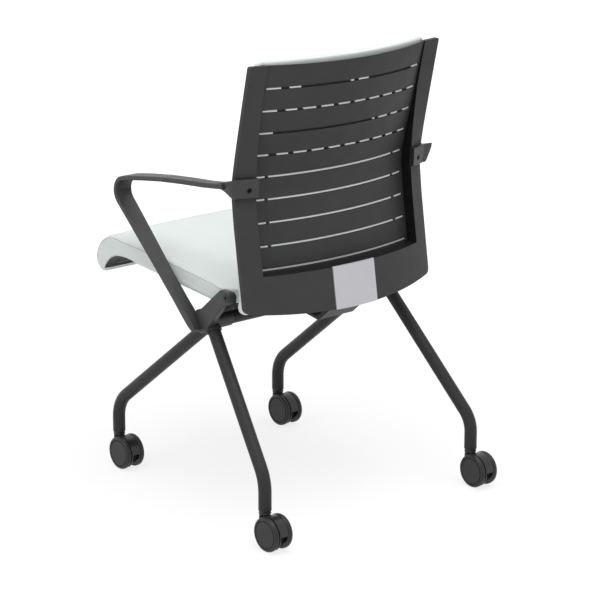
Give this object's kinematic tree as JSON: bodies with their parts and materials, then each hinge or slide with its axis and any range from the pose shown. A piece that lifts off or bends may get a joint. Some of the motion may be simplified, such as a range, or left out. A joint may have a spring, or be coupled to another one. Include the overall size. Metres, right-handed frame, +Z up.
{
  "type": "nesting armchair",
  "caption": "Armchair on casters with a slatted plastic back, padded back and flip-up padded seat, so that it nests with others for storage.",
  "frame": {"origin": "on the floor under the middle of the chair's bounding box", "axes": "+Z up, -Y towards the front of the seat, +X towards the sitter's left"},
  "size_m": [0.5342, 0.5956, 0.839],
  "materials": {
    "frame_coat": "fine matte powder coat, charcoal",
    "arm_coat": "matte powder coat on a casting, charcoal",
    "shell_plastic": "fine moulded grain, charcoal",
    "plate_silver": "satin silver lacquer",
    "cushion_cover": "smooth white coated upholstery over foam",
    "bumper_rubber": "matte rubber",
    "caster_plastic": "satin moulded plastic",
    "caster_wheel": "satin moulded plastic",
    "caster_steel": "plated steel",
    "black_screw": "black oxide steel"
  },
  "bodies": {
    "base": {"arm_left": "arm_coat", "arm_right": "arm_coat", "leg_front_left": "frame_coat", "leg_front_right": "frame_coat", "leg_rear_left": "frame_coat", "leg_rear_right": "frame_coat", "crossbar": "frame_coat", "back_bracket": "frame_coat", "back_shell": "shell_plastic", "centre_plate": "plate_silver", "rib_carrier": "shell_plastic", "back_cushion": "cushion_cover", "pivot_pin_left": "black_screw", "pivot_pin_right": "black_screw", "pin_clips": "black_screw", "arm_screws": "black_screw", "bracket_screws": "black_screw", "insert_front_left": "caster_plastic", "insert_front_right": "caster_plastic", "insert_rear_left": "caster_plastic", "insert_rear_right": "caster_plastic"},
    "seat": {"seat_cushion": "cushion_cover", "seat_pan": "shell_plastic", "hinge_left": "frame_coat", "hinge_right": "frame_coat", "hinge_screws": "black_screw", "seat_bumpers": "bumper_rubber"},
    "swivel_front_left": {"hood_front_left": "caster_plastic", "stem_front_left": "caster_steel", "axle_front_left": "caster_steel"},
    "roll_front_left_a": {"wheel_front_left_a": "caster_wheel"},
    "roll_front_left_b": {"wheel_front_left_b": "caster_wheel"},
    "swivel_front_right": {"hood_front_right": "caster_plastic", "stem_front_right": "caster_steel", "axle_front_right": "caster_steel"},
    "roll_front_right_a": {"wheel_front_right_a": "caster_wheel"},
    "roll_front_right_b": {"wheel_front_right_b": "caster_wheel"},
    "swivel_rear_left": {"hood_rear_left": "caster_plastic", "stem_rear_left": "caster_steel", "axle_rear_left": "caster_steel"},
    "roll_rear_left_a": {"wheel_rear_left_a": "caster_wheel"},
    "roll_rear_left_b": {"wheel_rear_left_b": "caster_wheel"},
    "swivel_rear_right": {"hood_rear_right": "caster_plastic", "stem_rear_right": "caster_steel", "axle_rear_right": "caster_steel"},
    "roll_rear_right_a": {"wheel_rear_right_a": "caster_wheel"},
    "roll_rear_right_b": {"wheel_rear_right_b": "caster_wheel"}
  },
  "joints": [
    {"name": "seat_flip", "type": "hinge", "parent": "base", "child": "seat", "pos_m": [0, 0.1165, 0.4187], "axis": [-1, 0, 0], "range_deg": [0, 68]},
    {"name": "swivel_front_left", "type": "hinge", "parent": "base", "child": "swivel_front_left", "pos_m": [0.1956, -0.2563, 0.05], "axis": [0, 0, 1], "continuous": true},
    {"name": "roll_front_left_a", "type": "hinge", "parent": "swivel_front_left", "child": "roll_front_left_a", "pos_m": [0.1956, -0.2336, 0.0313], "axis": [1, 0, 0], "continuous": true},
    {"name": "roll_front_left_b", "type": "hinge", "parent": "swivel_front_left", "child": "roll_front_left_b", "pos_m": [0.1956, -0.2336, 0.0313], "axis": [1, 0, 0], "continuous": true},
    {"name": "swivel_front_right", "type": "hinge", "parent": "base", "child": "swivel_front_right", "pos_m": [-0.1956, -0.2563, 0.05], "axis": [0, 0, 1], "continuous": true},
    {"name": "roll_front_right_a", "type": "hinge", "parent": "swivel_front_right", "child": "roll_front_right_a", "pos_m": [-0.1956, -0.2336, 0.0313], "axis": [1, 0, 0], "continuous": true},
    {"name": "roll_front_right_b", "type": "hinge", "parent": "swivel_front_right", "child": "roll_front_right_b", "pos_m": [-0.1956, -0.2336, 0.0313], "axis": [1, 0, 0], "continuous": true},
    {"name": "swivel_rear_left", "type": "hinge", "parent": "base", "child": "swivel_rear_left", "pos_m": [0.2473, 0.2438, 0.05], "axis": [0, 0, 1], "continuous": true},
    {"name": "roll_rear_left_a", "type": "hinge", "parent": "swivel_rear_left", "child": "roll_rear_left_a", "pos_m": [0.2473, 0.2665, 0.0313], "axis": [1, 0, 0], "continuous": true},
    {"name": "roll_rear_left_b", "type": "hinge", "parent": "swivel_rear_left", "child": "roll_rear_left_b", "pos_m": [0.2473, 0.2665, 0.0313], "axis": [1, 0, 0], "continuous": true},
    {"name": "swivel_rear_right", "type": "hinge", "parent": "base", "child": "swivel_rear_right", "pos_m": [-0.2473, 0.2438, 0.05], "axis": [0, 0, 1], "continuous": true},
    {"name": "roll_rear_right_a", "type": "hinge", "parent": "swivel_rear_right", "child": "roll_rear_right_a", "pos_m": [-0.2473, 0.2665, 0.0313], "axis": [1, 0, 0], "continuous": true},
    {"name": "roll_rear_right_b", "type": "hinge", "parent": "swivel_rear_right", "child": "roll_rear_right_b", "pos_m": [-0.2473, 0.2665, 0.0313], "axis": [1, 0, 0], "continuous": true}
  ]
}
